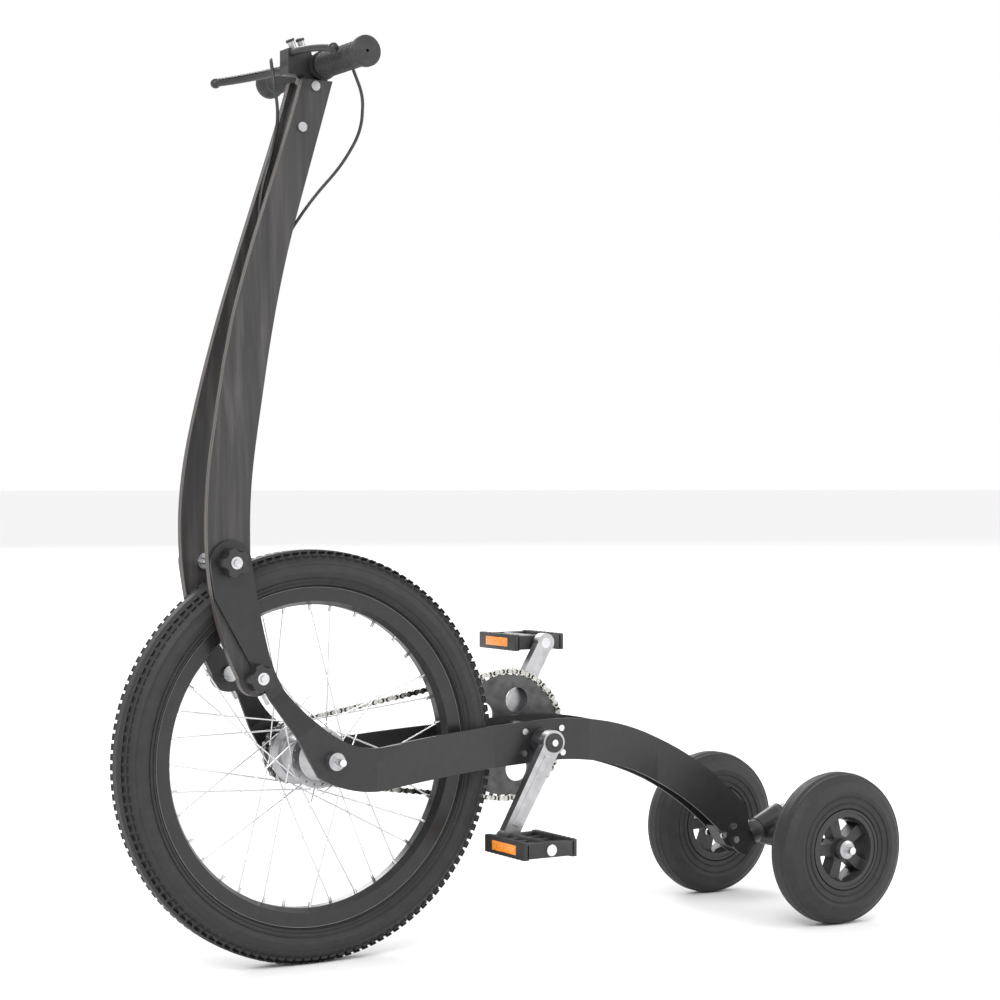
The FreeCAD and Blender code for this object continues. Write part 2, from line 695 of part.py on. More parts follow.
def plank_bend():
    """The plank seen from the front: wide beside the tyre, an S-bend in, narrow at the head."""
    inner_low, inner_high = value("fork_gap / 2"), value("neck_gap / 2")
    thick = value("plank_thickness")
    base_z = value(FOLD_Z)
    low, bend_start, bend_end = base_z - 300, base_z + 40, base_z + 405
    high = base_z + value("mast_height") + 50
    middle = Vector(0, (inner_low + inner_high) / 2, (bend_start + bend_end) / 2)
    rise = bend_end - bend_start
    shift = inner_low - inner_high
    radius = (rise * rise + shift * shift) / (4 * shift)
    quarter = math.asin(rise / 2 / radius) / 2

    def face_line(offset):
        """The S of two equal arcs, moved outward by offset."""
        out = Vector(0, offset, 0)
        start = Vector(0, inner_low, bend_start) + out
        end = Vector(0, inner_high, bend_end) + out
        centre_low = start - Vector(0, radius, 0)
        centre_high = end + Vector(0, radius, 0)
        low_mid = centre_low + Vector(0, radius * math.cos(quarter), radius * math.sin(quarter))
        high_mid = centre_high - Vector(0, radius * math.cos(quarter), radius * math.sin(quarter))
        return [
            Part.makeLine(Vector(0, inner_low + offset, low), start),
            Part.Arc(start, low_mid, middle + out).toShape(),
            Part.Arc(middle + out, high_mid, end).toShape(),
            Part.makeLine(end, Vector(0, inner_high + offset, high)),
        ]

    inner = face_line(0)
    outer = face_line(thick)
    caps = [
        Part.makeLine(Vector(0, inner_high, high), Vector(0, inner_high + thick, high)),
        Part.makeLine(Vector(0, inner_low, low), Vector(0, inner_low + thick, low)),
    ]
    wire = Part.Wire(Part.__sortEdges__(inner + outer + caps))
    return wire


def mast_planks():
    side = Part.Face(plank_outline()).extrude(Vector(0, 200, 0))
    side.translate(Vector(0, -100, 0))
    sheet_block = Part.Face(plank_bend()).extrude(Vector(1200, 0, 0))
    sheet_block.translate(Vector(-600, 0, 0))
    plank = side.common(sheet_block)
    right_blank = shape_node("plank_right_blank", plank)
    # The clamp bolt leaves the plank through a slot that runs round the fold rod.
    reach = value("sqrt(clamp_drop^2 + clamp_setback^2)")
    play = value("rod_dia / 2") + 1
    low_angle = math.degrees(math.atan2(-value("clamp_drop"), value("clamp_setback")))
    slot = Part.makeCylinder(reach + play, 200, Vector(0, 0, 0), Vector(0, -1, 0), 24)
    slot = slot.cut(Part.makeCylinder(reach - play, 200, Vector(0, 0, 0), Vector(0, -1, 0)))
    slot.rotate(Vector(), Vector(0, -1, 0), low_angle)
    slot.translate(Vector(value(FOLD_X), 100, value(FOLD_Z)))
    slot_node = shape_node("plank_slot", slot)
    seat = cross_bore("plank_clamp_seat", CLAMP_X, CLAMP_Z, "rod_dia / 2 + 1")
    fold = cross_bore("plank_fold_bore", FOLD_X, FOLD_Z, "rod_dia / 2 + running_gap")
    bolts = []
    for number, (dx, dz) in enumerate(HEAD_BOLTS):
        bolts.append(cross_bore(f"plank_head_bore_{number}", f"{BAR_X} + {dx}", f"{BAR_Z} + {dz}",
                                "3 + running_gap"))
    right = cut("mast_plank_right", right_blank, [slot_node, seat, fold] + bolts)
    return [mirrored("mast_plank_left", right), right]


HEAD_BOLTS = [(-13, -27), (-31, -79)]


def mast_head():
    """Block between the planks that carries the bar clamp, and the bolts through all three."""
    body = new_body("mast_head")
    block = new_sketch(body, "XZ_Plane", "mast_head_side")
    polygon(block, [("-19", "-8"), ("12", "-8"), ("2", "-46"), ("-42", "-168"), ("-66", "-168"), ("-35", "-54")])
    pad(body, block, "neck_gap - 0.6", "mast_head_block")
    ring = new_sketch(body, "XZ_Plane", "mast_head_ring")
    circle(ring, "0", "0", "bar_dia / 2 + 7")
    pad(body, ring, "neck_gap + 16", "mast_head_clamp")
    nose = new_sketch(body, "XZ_Plane", "mast_head_nose")
    polygon(nose, [("-44", "-12"), ("-12", "-12"), ("-12", "16"), ("-15", "19"), ("-44", "19")])
    pad(body, nose, "neck_gap - 2", "mast_head_lever_nose")
    holes = new_sketch(body, "XZ_Plane", "mast_head_holes")
    circle(holes, "0", "0", "bar_dia / 2 + running_gap")
    for dx, dz in HEAD_BOLTS:
        circle(holes, str(dx), str(dz), "3 + running_gap")
    pocket(body, holes, "mast_head_bores")
    place(body, BAR_X, "0", BAR_Z)

    bolts = []
    face = "(neck_gap / 2 + plank_thickness)"
    for number, (dx, dz) in enumerate(HEAD_BOLTS):
        bolt = turned(f"mast_bolt_{number}", [
            ("0", f"-{face} - 3"), ("6", f"-{face} - 3"), ("6", f"-{face}"), ("3", f"-{face}"),
            ("3", face), ("6", face), ("6", f"{face} + 3"), ("0", f"{face} + 3"),
        ])
        bolts.append(place(bolt, f"{BAR_X} + {dx}", "0", f"{BAR_Z} + {dz}"))
    return [body, group("mast_bolts", bolts)]


def handlebar():
    tube = turned("handlebar", tube_corners(
        "bar_dia / 2", "bar_dia / 2 - bar_wall", "-bar_width / 2", "bar_width / 2"))
    place(tube, BAR_X, "0", BAR_Z)
    parts = [tube]
    tip = "(bar_width / 2 + 3)"
    start = f"({tip} - grip_length)"
    for word, side in (("left", "-"), ("right", "")):
        grip = turned(f"grip_{word}", [
            ("bar_dia / 2 + running_gap", f"{side}{start}"),
            ("grip_dia / 2 - 1", f"{side}{start}"),
            ("grip_dia / 2", f"{side}({start} + 2)"),
            ("grip_dia / 2", f"{side}({tip} - 24)"),
            ("grip_dia / 2 - 2", f"{side}({tip} - 18)"),
            ("grip_flange_dia / 2 - 1", f"{side}({tip} - 11)"),
            ("grip_flange_dia / 2", f"{side}({tip} - 8)"),
            ("grip_flange_dia / 2", f"{side}({tip} - 2)"),
            ("grip_flange_dia / 2 - 2", f"{side}{tip}"),
            ("2", f"{side}{tip}"),
            ("2", f"{side}({tip} - 2.9)"),
            ("bar_dia / 2 + running_gap", f"{side}({tip} - 2.9)"),
        ])
        parts.append(place(grip, BAR_X, "0", BAR_Z))
    return parts


def from_bar(points):
    """Places given as offsets from the middle of the handlebar."""
    bar = Vector(value(BAR_X), 0, value(BAR_Z))
    return [bar + Vector(*point) for point in points]


def brake_levers():
    """Two lever blades, from the bar clamp's nose out ahead of each grip."""
    routes = {
        "left": [(-38, -13.2, 14), (-34, -60, 12), (-28, -102, 6)],
        "right": [(-38, 13.2, -4), (-50, 70, -5), (-76, 134, -6)],
    }
    parts = []
    for word, route in routes.items():
        root, knee, tip = from_bar(route)
        path = Part.Wire([Part.Arc(root, knee, tip).toShape()])
        section = Part.Wire([Part.makeCircle(4.5, root, path.Edges[0].tangentAt(path.Edges[0].FirstParameter))])
        blade = path.makePipeShell([section], True, False)
        parts.append(shape_node(f"brake_lever_{word}", blade.fuse(Part.makeSphere(6.5, tip))))
    return parts


def lever_posts():
    """The two bright pivot posts that stand on the bar clamp's nose."""
    ends = from_bar([(-31, 0, 20.8), (-37, 0, 33), (-18, 0, 20.8), (-23, 0, 35)])
    posts = []
    for foot, head in (ends[:2], ends[2:]):
        posts.append(Part.makeCylinder(4.5, (head - foot).Length, foot, head - foot))
    return shape_node("lever_posts", Part.makeCompound(posts))


def cable(label, points):
    """Round tube along straight runs joined by tangent arcs."""
    radius = value("cable_dia / 2")
    edges = []
    start = points[0]
    tightest = None
    for before, corner, after in zip(points, points[1:], points[2:]):
        incoming = (corner - before).normalize()
        outgoing = (after - corner).normalize()
        half_turn = incoming.getAngle(outgoing) / 2
        back = 0.45 * min((corner - before).Length, (after - corner).Length)
        bend = back / math.tan(half_turn)
        tightest = bend if tightest is None else min(tightest, bend)
        leave = corner - incoming * back
        arrive = corner + outgoing * back
        toward_centre = (outgoing - incoming).normalize()
        middle = corner + toward_centre * (bend / math.cos(half_turn) - bend)
        edges.append(Part.makeLine(start, leave))
        edges.append(Part.Arc(leave, middle, arrive).toShape())
        start = arrive
    edges.append(Part.makeLine(start, points[-1]))
    path = Part.Wire(edges)
    section = Part.Wire([Part.makeCircle(radius, points[0], points[1] - points[0])])
    tube = path.makePipeShell([section], True, False)
    print(f"{label}: length {path.Length:.0f}, tightest bend {tightest:.1f}, "
          f"volume over section times length {tube.Volume / (math.pi * radius ** 2 * path.Length):.4f}")
    return shape_node(label, tube)


def cables():
    brake = from_bar([
        (-45, 33.2, 1), (-61, 4, 11), (-66, -16, -22), (-56, -10, -66), (-60, 2, -112), (-76, 0, -160), (-79, 0, -212),
    ])
    shift = from_bar([
        (6, -88, -14.5), (20, -88, -46), (30, -64, -84), (16, -40, -124), (-14, -16, -166), (-42, 0, -214),
        (-62, 0, -262),
    ])
    return [cable("brake_cable", brake), cable("shift_cable", shift)]


# ---------------------------------------------------------------- knobs and bolts

def knobs_and_bolts():
    """Star knobs outside the plates, on the fold rod's ends and on the two clamp bolts."""
    parts = []
    for word, x, z in (("upper", FOLD_X, FOLD_Z), ("lower", CLAMP_X, CLAMP_Z)):
        for hand, side, reverse in (("left", "-", False), ("right", "", True)):
            label = f"knob_{word}_{hand}"
            body = new_body(label)
            face = new_sketch(body, "XZ_Plane", label + "_face")
            circle(face, "0", "0", "knob_dia / 2")
            circle(face, "0", "0", "rod_dia / 2 + running_gap")
            pad(body, face, "knob_height", label + "_disc", symmetric=False, reverse=reverse)
            scallop = new_sketch(body, "XZ_Plane", label + "_scallop")
            circle(scallop, "knob_dia / 2 + 4", "0", "8")
            notch = pocket(body, scallop, label + "_notch")
            around = body.newObject("PartDesign::PolarPattern", label + "_notches")
            around.Originals = [notch]
            around.Axis = (origin_part(body, "Y_Axis"), [""])
            around.Angle = 360
            around.Occurrences = 5
            body.Tip = around
            parts.append(place(body, x, f"{side}{PLATE_OUTER}", z))
    tip = f"({PLATE_OUTER} + knob_height + 4)"
    fold_rod = rod("fold_rod", "rod_dia / 2", f"-{tip}", tip)
    parts.append(place(fold_rod, FOLD_X, "0", FOLD_Z))
    clamps = []
    washers = "(fork_gap / 2 - face_gap)"
    for hand, side in (("left", "-"), ("right", "")):
        bolt = turned(f"clamp_bolt_{hand}", [
            ("0", f"{side}({washers} - 5)"), ("10", f"{side}({washers} - 5)"), ("10", f"{side}{washers}"),
            ("rod_dia / 2", f"{side}{washers}"), ("rod_dia / 2", f"{side}{tip}"), ("0", f"{side}{tip}"),
        ])
        clamps.append(place(bolt, CLAMP_X, "0", CLAMP_Z))
    parts.append(group("clamp_bolts", clamps))
    return parts


# ---------------------------------------------------------------- truck and rear wheels

def truck():
    sleeve = turned("truck_sleeve", tube_corners("15", "truck_pin_dia / 2 + running_gap", "-18", "18"), "X_Axis")
    place(sleeve, LEAN_X, "0", LEAN_Z, turn=(Vector(0, 1, 0), "-truck_angle"))
    inner_end = "(track / 2 - rear_tyre_width / 2 - 4)"
    bore = "rear_axle_dia / 2 + running_gap"
    beam = turned("truck_beam", [
        (bore, f"-{inner_end}"), ("beam_dia / 2 - 3", f"-{inner_end}"), ("beam_dia / 2", f"-{inner_end} + 30"),
        ("beam_dia / 2 + 1", "-26"), ("beam_dia / 2 + 4", "-14"), ("beam_dia / 2 + 4", "14"),
        ("beam_dia / 2 + 1", "26"), ("beam_dia / 2", f"{inner_end} - 30"), ("beam_dia / 2 - 3", inner_end),
        (bore, inner_end),
    ])
    place(beam, REAR_X, "0", REAR_Z)
    pin_space = rod("truck_pin_space", "truck_pin_dia / 2 + running_gap", "-40", "40", axis="X_Axis")
    place(pin_space, LEAN_X, "0", LEAN_Z, turn=(Vector(0, 1, 0), "-truck_angle"))
    blank = doc.addObject("Part::Fuse", "truck_hanger_blank")
    blank.Base = sleeve
    blank.Tool = beam
    hanger = cut("truck_hanger", blank, [pin_space])
    tip = "(track / 2 + rear_tyre_width / 2 + 10)"
    axle = rod("rear_axle", "rear_axle_dia / 2", f"-{tip}", tip)
    place(axle, REAR_X, "0", REAR_Z)
    rings = []
    for name, start, end in (("front", "-27.7", "-18.3"), ("rear", "18.3", "25.7")):
        ring = turned(f"truck_ring_{name}", tube_corners("14", "truck_pin_dia / 2 + running_gap", start, end), "X_Axis")
        rings.append(place(ring, LEAN_X, "0", LEAN_Z, turn=(Vector(0, 1, 0), "-truck_angle")))
    nut = turned("truck_nut", tube_corners("12", "truck_pin_dia / 2 + running_gap", "26", "33"), "X_Axis")
    place(nut, LEAN_X, "0", LEAN_Z, turn=(Vector(0, 1, 0), "-truck_angle"))
    return [hanger, axle, group("truck_bushings", rings), nut]


def rear_wheels():
    parts = []
    half = "(rear_tyre_width / 2)"
    crown = "(rear_tyre_od / 2)"
    for word, side in (("left", "-"), ("right", "")):
        middle = f"{side}track / 2"
        tyre = turned(f"rear_tyre_{word}", [
            ("rear_rim_radius - 1", f"-{half} + 8"), ("rear_rim_radius + 2", f"-{half} + 3"),
            (f"{crown} - 25", f"-{half}"), (f"{crown} - 12", f"-{half} + 4"), (f"{crown} - 3", f"-{half} + 12"),
            (crown, "-6"), (crown, "6"),
            (f"{crown} - 3", f"{half} - 12"), (f"{crown} - 12", f"{half} - 4"), (f"{crown} - 25", half),
            ("rear_rim_radius + 2", f"{half} - 3"), ("rear_rim_radius - 1", f"{half} - 8"),
        ])
        rim = new_body(f"rear_rim_{word}")
        section = new_sketch(rim, "XY_Plane", f"rear_rim_{word}_section")
        bore = "rear_axle_dia / 2 + running_gap"
        polygon(section, [
            (bore, "-16"), ("12", "-16"), ("14", "-10"), ("rear_rim_radius - 14", "-10"),
            ("rear_rim_radius - 10", "-rear_rim_width / 2"), ("rear_rim_radius - 2", "-rear_rim_width / 2"),
            ("rear_rim_radius - 2", "rear_rim_width / 2"), ("rear_rim_radius - 10", "rear_rim_width / 2"),
            ("rear_rim_radius - 14", "10"), ("14", "10"), ("12", "16"), (bore, "16"),
        ])
        feature = rim.newObject("PartDesign::Revolution", f"rear_rim_{word}_turn")
        feature.Profile = section
        feature.ReferenceAxis = (origin_part(rim, "Y_Axis"), [""])
        feature.Angle = 360
        window = new_sketch(rim, "XZ_Plane", f"rear_rim_{word}_window")
        polygon(window, [("17", "-4"), ("rear_rim_radius - 15", "-18"), ("rear_rim_radius - 15", "18"), ("17", "4")])
        opening = pocket(rim, window, f"rear_rim_{word}_opening")
        around = rim.newObject("PartDesign::PolarPattern", f"rear_rim_{word}_windows")
        around.Originals = [opening]
        around.Axis = (origin_part(rim, "Y_Axis"), [""])
        around.Angle = 360
        around.Occurrences = 5
        rim.Tip = around
        place(tyre, REAR_X, middle, REAR_Z)
        place(rim, REAR_X, middle, REAR_Z)
        parts += [tyre, rim]
    return parts


def rear_axle_nuts():
    nuts = []
    for word, side in (("left", "-"), ("right", "")):
        nut = turned(f"rear_axle_nut_{word}", tube_corners(
            "8.5", "rear_axle_dia / 2 + running_gap", f"{side}(track / 2 + 16.3)", f"{side}(track / 2 + 26)"))
        nuts.append(place(nut, REAR_X, "0", REAR_Z))
    return group("rear_axle_nuts", nuts)


# ---------------------------------------------------------------- the whole machine

def build():
    nodes = []
    nodes += side_plates()
    nodes += [bracket_shell(), tail_block()]
    nodes += front_axle()
    nodes += front_wheel()
    nodes += [chain()]
    nodes += crank_parts()
    nodes += pedals()
    nodes += mast_planks()
    nodes += mast_head()
    nodes += handlebar()
    nodes += brake_levers()
    nodes += [lever_posts()]
    nodes += cables()
    nodes += knobs_and_bolts()
    nodes += truck()
    nodes += rear_wheels()
    nodes += [rear_axle_nuts()]
    return nodes


def check(nodes):
    for item in doc.Objects:
        if "Invalid" in item.State or "Error" in item.State:
            raise RuntimeError(f"{item.Label}: {item.State}")
    for node in nodes:
        if node.Shape.isNull() or not node.Shape.isValid():
            raise RuntimeError(f"{node.Label}: no valid shape")


NODES = build()
doc.recompute()
check(NODES)
os.makedirs("parts", exist_ok=True)
for node in NODES:
    node.Shape.exportStep(f"parts/{node.Label}.step")
    print(f"{node.Label:24s} solids {len(node.Shape.Solids):3d}  volume {node.Shape.Volume:12.1f}")
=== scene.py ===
import json
import math

import bmesh
import bpy
from mathutils import Matrix, Vector


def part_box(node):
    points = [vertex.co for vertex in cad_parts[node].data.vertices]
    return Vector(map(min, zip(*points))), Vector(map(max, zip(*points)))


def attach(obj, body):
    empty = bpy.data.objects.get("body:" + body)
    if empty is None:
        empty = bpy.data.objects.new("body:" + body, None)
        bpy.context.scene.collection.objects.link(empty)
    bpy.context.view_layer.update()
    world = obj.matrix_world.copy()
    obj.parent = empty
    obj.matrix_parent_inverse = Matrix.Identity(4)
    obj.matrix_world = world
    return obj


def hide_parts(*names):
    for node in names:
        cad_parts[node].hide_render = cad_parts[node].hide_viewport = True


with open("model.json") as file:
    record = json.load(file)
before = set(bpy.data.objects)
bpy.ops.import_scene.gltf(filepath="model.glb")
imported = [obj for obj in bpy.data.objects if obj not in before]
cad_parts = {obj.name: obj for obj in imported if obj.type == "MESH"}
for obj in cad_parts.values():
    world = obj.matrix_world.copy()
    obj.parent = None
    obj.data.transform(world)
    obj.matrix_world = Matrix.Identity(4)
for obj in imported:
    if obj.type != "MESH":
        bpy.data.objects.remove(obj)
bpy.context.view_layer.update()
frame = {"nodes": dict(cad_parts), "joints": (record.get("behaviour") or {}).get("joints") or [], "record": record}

JOINT_PLACES = {joint["name"]: Vector(joint["pos_m"]) for joint in frame["joints"]}


def node_centre(node):
    """Middle of a CAD node's box at rest."""
    low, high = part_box(node)
    return (Vector(low) + Vector(high)) / 2


# Places and sizes in metres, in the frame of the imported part.
HUB = JOINT_PLACES["front_wheel_spin"]
CRANK = JOINT_PLACES["crank_spin"]
FOLD = JOINT_PLACES["mast_fold"]
REAR = node_centre("rear_axle")
CLAMP = node_centre("clamp_bolts")
BAR = node_centre("handlebar")
PEDALS = {"left": node_centre("pedal_left"), "right": node_centre("pedal_right")}
TRACK_HALF = abs(node_centre("rear_tyre_left").y)
CHAIN_LINE = node_centre("chain").y
CRANK_DX = PEDALS["right"].x - CRANK.x
CRANK_DZ = PEDALS["right"].z - CRANK.z
RING_RADIUS = 0.085
SPROCKET_RADIUS = 0.0366
RING_TEETH = 42
SPROCKET_TEETH = 18
SPOKE_COUNT = 36
PLATE_FACE_CRANK = 0.038
PLATE_FACE_TAIL = 0.0165
FULL_TURN = 2 * math.pi


# ---------------------------------------------------------------- materials

def new_material(name):
    material = bpy.data.materials.new(name)
    material.use_nodes = True
    nodes, links = material.node_tree.nodes, material.node_tree.links
    shader = nodes["Principled BSDF"]
    return material, nodes, links, shader


def coordinates(nodes, links, scale):
    place = nodes.new("ShaderNodeTexCoord")
    mapping = nodes.new("ShaderNodeMapping")
    mapping.inputs["Scale"].default_value = scale
    links.new(place.outputs["Object"], mapping.inputs["Vector"])
    return mapping.outputs["Vector"]


def noise(nodes, links, vector, scale, detail=4.0):
    texture = nodes.new("ShaderNodeTexNoise")
    texture.inputs["Scale"].default_value = scale
    texture.inputs["Detail"].default_value = detail
    links.new(vector, texture.inputs["Vector"])
    return texture.outputs["Fac"]


def ramp(nodes, links, factor, stops):
    blend = nodes.new("ShaderNodeValToRGB")
    elements = blend.color_ramp.elements
    while len(elements) < len(stops):
        elements.new(0.5)
    for element, (position, color) in zip(elements, stops):
        element.position = position
        element.color = (*color, 1)
    links.new(factor, blend.inputs["Fac"])
    return blend.outputs["Color"]


def finish_material(name, dark, light, roughness, metallic=0.0, scale=60.0, bump=0.02,
                    stretch=(1, 1, 1), rough_spread=0.08):
    """A finish with slight procedural variation in colour, roughness and height."""
    material, nodes, links, shader = new_material(name)
    vector = coordinates(nodes, links, stretch)
    grain = noise(nodes, links, vector, scale)
    links.new(ramp(nodes, links, grain, [(0.3, dark), (0.7, light)]), shader.inputs["Base Color"])
    shader.inputs["Metallic"].default_value = metallic
    spread = nodes.new("ShaderNodeMapRange")
    spread.inputs["To Min"].default_value = roughness - rough_spread
    spread.inputs["To Max"].default_value = roughness + rough_spread
    links.new(noise(nodes, links, vector, scale * 2.3), spread.inputs["Value"])
    links.new(spread.outputs["Result"], shader.inputs["Roughness"])
    if bump:
        height = nodes.new("ShaderNodeBump")
        height.inputs["Strength"].default_value = bump
        height.inputs["Distance"].default_value = 0.0005
        links.new(noise(nodes, links, vector, scale * 6), height.inputs["Height"])
        links.new(height.outputs["Normal"], shader.inputs["Normal"])
    return material


MAT = {
    "plate_black": finish_material(
        "plate_black", (0.009, 0.009, 0.01), (0.013, 0.013, 0.014),
        0.36, 0.0, 90, 0.08),
    "tyre": finish_material(
        "tyre_rubber", (0.009, 0.009, 0.009), (0.015, 0.015, 0.0155),
        0.62, 0.0, 70, 0.15),
    "rim_black": finish_material(
        "rim_black", (0.008, 0.008, 0.008), (0.013, 0.013, 0.013),
        0.3, 0.0, 60, 0.0),
    "silver": finish_material(
        "silver_alloy", (0.36, 0.36, 0.37), (0.47, 0.47, 0.48),
        0.36, 1.0, 80, 0.05),
    "steel": finish_material(
        "bright_steel", (0.6, 0.6, 0.62), (0.72, 0.72, 0.74),
        0.25, 1.0, 90, 0.02),
    "black_plastic": finish_material(
        "black_plastic", (0.012, 0.012, 0.012), (0.02, 0.02, 0.02),
        0.45, 0.0, 90, 0.1),
    "grip_rubber": finish_material(
        "grip_rubber", (0.014, 0.014, 0.015), (0.024, 0.024, 0.025),
        0.6, 0.0, 120, 0.2),
    "truck_black": finish_material(
        "truck_black", (0.014, 0.014, 0.015), (0.022, 0.022, 0.024),
        0.35, 0.0, 70, 0.05),
    "elastomer": finish_material(
        "elastomer", (0.03, 0.03, 0.03), (0.045, 0.045, 0.045),
        0.55, 0.0, 90, 0.05),
    "chain_silver": finish_material(
        "chain_steel", (0.42, 0.41, 0.38), (0.6, 0.59, 0.56),
        0.3, 1.0, 150, 0.05),
    "cable_black": finish_material(
        "cable_black", (0.012, 0.012, 0.012), (0.02, 0.02, 0.02),
        0.35, 0.0, 90, 0.0),
    "ring_grey": finish_material(
        "chainring_grey", (0.06, 0.06, 0.062), (0.11, 0.11, 0.112),
        0.36, 0.8, 80, 0.03),
    "reflector": finish_material(
        "amber_reflector", (0.75, 0.2, 0.02), (0.95, 0.33, 0.04),
        0.2, 0.0, 240, 0.3),
    "rim_line": finish_material(
        "bead_line", (0.09, 0.09, 0.09), (0.13, 0.13, 0.13),
        0.4, 0.0, 90, 0.0),
}


def plank_material():
    """Dark stained plywood, with long grain on the faces and pale plies on the edges."""
    material, nodes, links, shader = new_material("stained_plywood")
    vector = coordinates(nodes, links, (1.0, 1.0, 0.045))
    grain = noise(nodes, links, vector, 95.0, 6.0)
    colour = ramp(nodes, links, grain, [(0.3, (0.013, 0.012, 0.012)), (0.52, (0.026, 0.024, 0.024)),
                                        (0.72, (0.052, 0.048, 0.047))])
    plies = nodes.new("ShaderNodeTexWave")
    plies.wave_type = "BANDS"
    plies.bands_direction = "Y"
    plies.inputs["Scale"].default_value = 62.0
    plies.inputs["Distortion"].default_value = 0.6
    links.new(coordinates(nodes, links, (1.0, 1.0, 1.0)), plies.inputs["Vector"])
    edge = ramp(nodes, links, plies.outputs["Fac"], [(0.2, (0.03, 0.026, 0.024)), (0.8, (0.1, 0.088, 0.078))])
    geometry = nodes.new("ShaderNodeNewGeometry")
    parts = nodes.new("ShaderNodeSeparateXYZ")
    links.new(geometry.outputs["True Normal"], parts.inputs["Vector"])
    size = nodes.new("ShaderNodeMath")
    size.operation = "ABSOLUTE"
    links.new(parts.outputs["Y"], size.inputs[0])
    pick = nodes.new("ShaderNodeMath")
    pick.operation = "LESS_THAN"
    pick.inputs[1].default_value = 0.7
    links.new(size.outputs["Value"], pick.inputs[0])
    mix = nodes.new("ShaderNodeMix")
    mix.data_type = "RGBA"
    links.new(pick.outputs["Value"], mix.inputs["Factor"])
    links.new(colour, mix.inputs["A"])
    links.new(edge, mix.inputs["B"])
    links.new(mix.outputs["Result"], shader.inputs["Base Color"])
    shader.inputs["Roughness"].default_value = 0.48
    height = nodes.new("ShaderNodeBump")
    height.inputs["Strength"].default_value = 0.15
    height.inputs["Distance"].default_value = 0.0006
    links.new(grain, height.inputs["Height"])
    links.new(height.outputs["Normal"], shader.inputs["Normal"])
    return material


MAT["plank"] = plank_material()

for entry in frame["record"]["subparts"]:
    node = frame["nodes"].get(entry["node"])
    if node is None:
        continue
    node.data.materials.clear()
    node.data.materials.append(MAT[entry["material_slot"]])


chainring_slots = frame["nodes"]["chainring"].data.materials
chainring_slots.clear()
chainring_slots.append(MAT["ring_grey"])


# ---------------------------------------------------------------- mesh helpers

def mesh_object(name, builder, material, body, smooth=True, bevel=0.0):
    """One object from a function that fills a bmesh; it rides on a CAD body."""
    mesh = bpy.data.meshes.new(name)
    shape = bmesh.new()
    builder(shape)
    bmesh.ops.recalc_face_normals(shape, faces=shape.faces)
    shape.to_mesh(mesh)
    shape.free()
    piece = bpy.data.objects.new(name, mesh)
    bpy.context.collection.objects.link(piece)
    mesh.materials.append(MAT[material])
    if smooth:
        for face in mesh.polygons:
            face.use_smooth = True
        split = piece.modifiers.new("edge_split", "EDGE_SPLIT")
        split.split_angle = math.radians(32)
    if bevel:
        rounding = piece.modifiers.new("rounding", "BEVEL")
        rounding.width = bevel
        rounding.segments = 2
        piece.modifiers.move(len(piece.modifiers) - 1, 0)
    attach(piece, body)
    return piece


def add_cylinder(shape, centre, axis, radius, length, segments=24, top_radius=None):
    turn = Vector((0, 0, 1)).rotation_difference(Vector(axis)).to_matrix().to_4x4()
    bmesh.ops.create_cone(
        shape, cap_ends=True, segments=segments, radius1=radius,
        radius2=radius if top_radius is None else top_radius, depth=length,
        matrix=Matrix.Translation(centre) @ turn)


def add_box(shape, centre, size, turn=None):
    matrix = Matrix.Translation(centre) @ (turn or Matrix()) @ Matrix.Diagonal((*size, 1))
    bmesh.ops.create_cube(shape, size=1, matrix=matrix)


def add_turned(shape, centre, profile, segments=96):
    """Surface turned about Y from (radius, y) points, closed end to end."""
    rings = []
    for radius, along in profile:
        ring = []
        for i in range(segments):
            angle = FULL_TURN * i / segments
            ring.append(shape.verts.new(
                centre + Vector((radius * math.cos(angle), along, radius * math.sin(angle)))))
        rings.append(ring)
    for a, b in zip(rings, rings[1:] + rings[:1]):
        for i in range(segments):
            j = (i + 1) % segments
            shape.faces.new((a[i], a[j], b[j], b[i]))


def around(centre, radius, angle, y=0.0):
    return centre + Vector((radius * math.cos(angle), y, radius * math.sin(angle)))


# ---------------------------------------------------------------- front tyre

CROWN_RADIUS = 0.257
TREAD_BLOCKS = 132
TREAD_DEPTH = 0.0016
TREAD_ROWS = ((0.2536, 0.0120, 0.0085, -0.52), (0.2487, 0.0190, 0.0055, -0.95))  # radius, y, width, lean


def front_tread(shape):
    """Shallow blocks on both shoulders, all the way round the wheel."""
    length = FULL_TURN * CROWN_RADIUS / TREAD_BLOCKS * 0.66
    for i in range(TREAD_BLOCKS):
        angle = FULL_TURN * i / TREAD_BLOCKS
        for side in (-1, 1):
            for radius, y, size_y, lean in TREAD_ROWS:
                place = around(HUB, radius, angle, side * y)
                turn = Matrix.Rotation(-angle, 4, "Y") @ Matrix.Rotation(side * lean, 4, "Z")
                add_box(shape, place, (TREAD_DEPTH, size_y, length), turn)



mesh_object("front_tread", front_tread, "tyre", "front_wheel", smooth=False)


SIDEWALL_RIDGES = ((0.2165, 0.0228, 0.0011), (0.2215, 0.0252, 0.0009), (0.2395, 0.0249, 0.001))


def front_bands(shape):
    """Moulded ridges round the sidewalls and the crown."""
    for side in (-1, 1):
        for radius, y, height in SIDEWALL_RIDGES:
            add_turned(shape, HUB, [
                (radius - 0.0008, side * y), (radius - 0.0004, side * (y + height)),
                (radius + 0.0004, side * (y + height)), (radius + 0.0008, side * y)])
    add_turned(shape, HUB, [(0.2562, -0.0045), (0.2569, -0.0035), (0.2569, 0.0035), (0.2562, 0.0045)], 160)


mesh_object("front_tyre_bands", front_bands, "tyre", "front_wheel")


def bead_line(shape):
    for side in (-1, 1):
        add_turned(shape, HUB, [(0.2100, side * 0.0162), (0.2104, side * 0.0174), (0.2112, side * 0.0174),
                                (0.2114, side * 0.0162)], 128)


